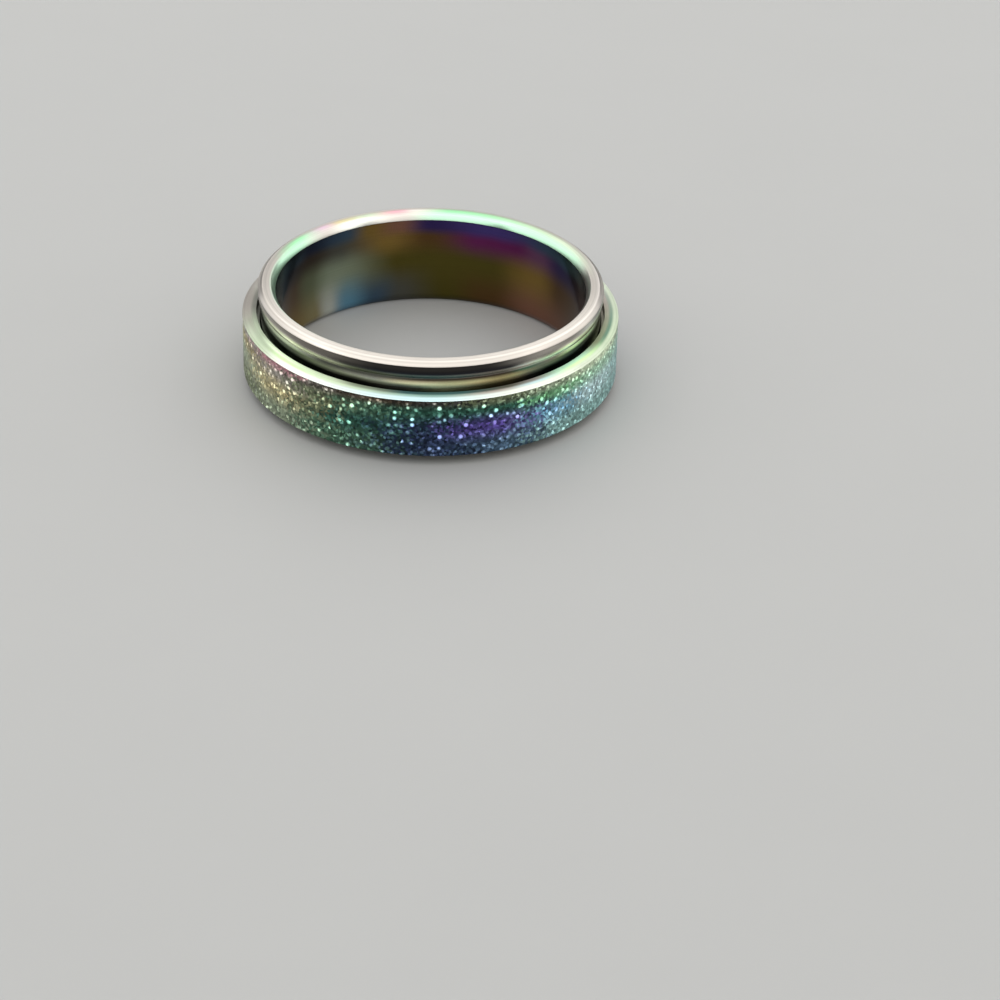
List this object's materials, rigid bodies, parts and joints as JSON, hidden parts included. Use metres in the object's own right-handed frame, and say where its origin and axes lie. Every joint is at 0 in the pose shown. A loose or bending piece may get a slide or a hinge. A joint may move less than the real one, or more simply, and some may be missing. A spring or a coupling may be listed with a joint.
{
  "type": "spinner ring",
  "caption": "Finger ring with a polished inner band and a loose outer ring, sandblasted round its face, that spins freely between two lips.",
  "frame": {"origin": "centre of the inner band's lower rim, on the ring's axis, on the surface that the ring lies on", "axes": "+Z along the ring's axis, from the lower rim to the upper one; +X and +Y across the bore"},
  "size_m": [0.022, 0.022, 0.006],
  "materials": {
    "rainbow_polish": "stainless steel, mirror polished and ion-plated in rainbow colours",
    "rainbow_sandblast": "stainless steel, coarsely sandblasted round its face and ion-plated in rainbow colours, with smooth end faces"
  },
  "bodies": {
    "band": {"inner_band": "rainbow_polish"},
    "outer_ring": {"spinner": "rainbow_sandblast"}
  },
  "joints": [
    {"name": "spin", "type": "hinge", "parent": "band", "child": "outer_ring", "pos_m": [0, 0, 0.00237], "axis": [0, 0, 1], "continuous": true}
  ]
}
